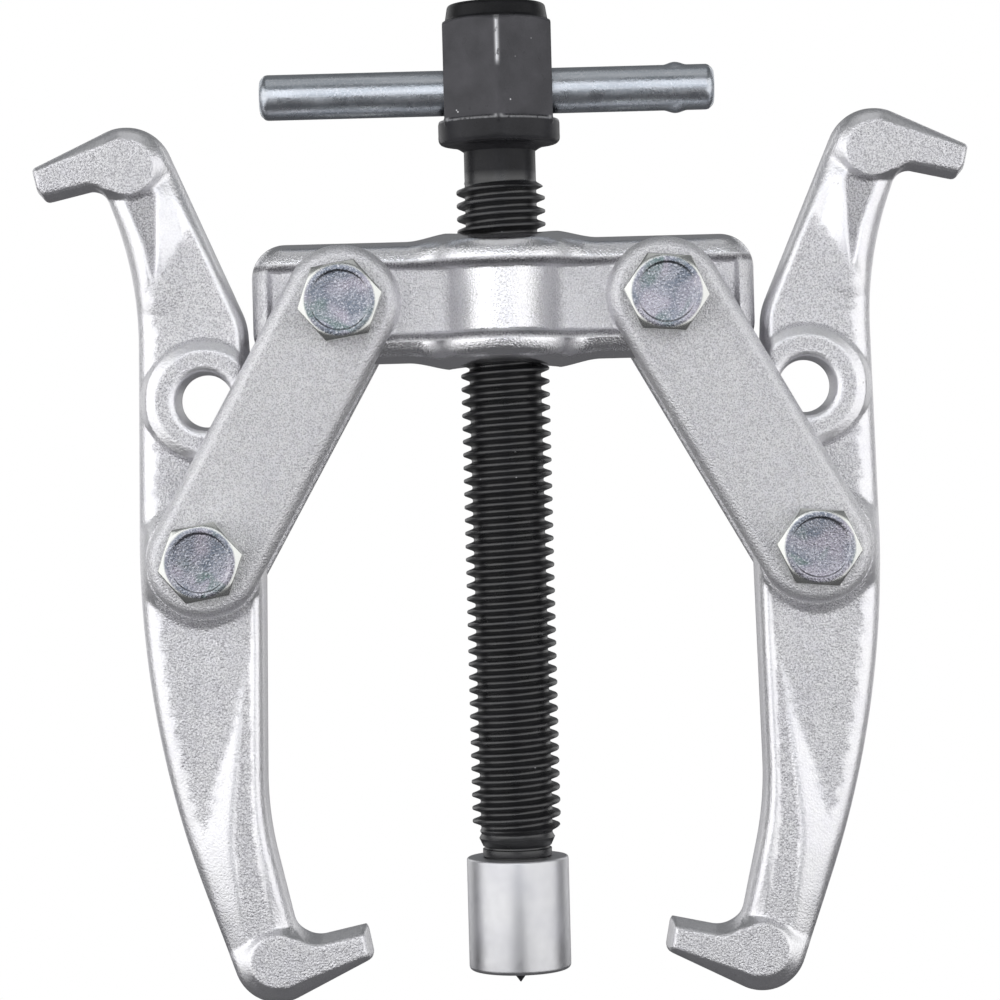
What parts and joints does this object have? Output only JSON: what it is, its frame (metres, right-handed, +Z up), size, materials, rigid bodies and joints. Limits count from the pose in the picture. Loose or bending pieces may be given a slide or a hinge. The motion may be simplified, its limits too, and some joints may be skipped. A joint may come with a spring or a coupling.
{
  "type": "gear puller",
  "caption": "Two-jaw reversible gear puller: hooked jaws on paired links, a threaded yoke, and a forcing screw with tommy bar and thrust cap.",
  "frame": {"origin": "tip of the centre point under the thrust cap, at rest", "axes": "+Z up along the forcing screw towards its head, +X towards the right-hand jaw, +Y away from the viewer, so that bolt heads face -Y and nuts face +Y"},
  "size_m": [0.1644, 0.0379, 0.1748],
  "materials": {
    "yoke_zinc": "polished, zinc plated forging",
    "link_zinc": "satin, grit-blasted and zinc plated",
    "jaw_zinc": "satin, grit-blasted and zinc plated forging with polished rims",
    "bolt_zinc": "bright blue-white zinc plate",
    "washer_zinc": "bright zinc plate",
    "black_oxide": "matt black oxide",
    "bar_zinc": "blue-white zinc plate",
    "turned_steel": "fine turned satin",
    "dark_steel": "dark hardened steel",
    "ball_steel": "polished hardened steel",
    "ring_steel": "bright spring wire"
  },
  "bodies": {
    "yoke": {"yoke": "yoke_zinc", "left_yoke_bolt": "bolt_zinc", "left_yoke_washer": "washer_zinc", "left_yoke_nut": "bolt_zinc", "right_yoke_bolt": "bolt_zinc", "right_yoke_washer": "washer_zinc", "right_yoke_nut": "bolt_zinc"},
    "left_links": {"left_link_front": "link_zinc", "left_link_rear": "link_zinc"},
    "right_links": {"right_link_front": "link_zinc", "right_link_rear": "link_zinc"},
    "left_pin": {"left_jaw_bolt": "bolt_zinc", "left_jaw_washer": "washer_zinc", "left_jaw_nut": "bolt_zinc"},
    "right_pin": {"right_jaw_bolt": "bolt_zinc", "right_jaw_washer": "washer_zinc", "right_jaw_nut": "bolt_zinc"},
    "left_jaw": {"left_jaw": "jaw_zinc"},
    "right_jaw": {"right_jaw": "jaw_zinc"},
    "cap": {"thrust_cap": "turned_steel", "centre_point": "dark_steel", "thrust_ball": "ball_steel", "retaining_ring": "ring_steel"},
    "spindle": {"forcing_screw": "black_oxide"},
    "tommy_bar": {"tommy_bar": "bar_zinc"}
  },
  "joints": [
    {"name": "left_link_swing", "type": "hinge", "parent": "yoke", "child": "left_links", "pos_m": [-0.0281, 0, 0.1205], "axis": [0, 1, 0], "range_deg": [-0.5, 60]},
    {"name": "left_pin_turn", "type": "hinge", "parent": "left_links", "child": "left_pin", "pos_m": [-0.05326, 0, 0.07602], "axis": [0, 1, 0], "range_deg": [-60, 0.5]},
    {"name": "left_jaw_swing", "type": "hinge", "parent": "left_pin", "child": "left_jaw", "pos_m": [-0.05326, 0, 0.07602], "axis": [0, -1, 0], "range_deg": [-0.5, 12]},
    {"name": "right_link_swing", "type": "hinge", "parent": "yoke", "child": "right_links", "pos_m": [0.0281, 0, 0.1205], "axis": [0, -1, 0], "range_deg": [-0.5, 60]},
    {"name": "right_pin_turn", "type": "hinge", "parent": "right_links", "child": "right_pin", "pos_m": [0.05326, 0, 0.07602], "axis": [0, -1, 0], "range_deg": [-60, 0.5]},
    {"name": "right_jaw_swing", "type": "hinge", "parent": "right_pin", "child": "right_jaw", "pos_m": [0.05326, 0, 0.07602], "axis": [0, 1, 0], "range_deg": [-0.5, 12]},
    {"name": "screw_feed", "type": "slide", "parent": "yoke", "child": "cap", "axis": [0, 0, 1], "range_m": [-0.01329, 0.08313]},
    {"name": "spindle_turn", "type": "hinge", "parent": "cap", "child": "spindle", "pos_m": [0, 0, 0], "axis": [0, 0, 1], "range_deg": [-2070, 12960]},
    {"name": "bar_slide", "type": "slide", "parent": "spindle", "child": "tommy_bar", "axis": [1, 0, 0], "range_m": [-0.0195, 0.0195]}
  ],
  "couplings": [
    {"joint": "left_pin_turn", "follows": "left_link_swing", "ratio": -1},
    {"joint": "right_pin_turn", "follows": "right_link_swing", "ratio": -1},
    {"joint": "screw_feed", "follows": "spindle_turn", "m_per_rad": 0.00036749}
  ]
}
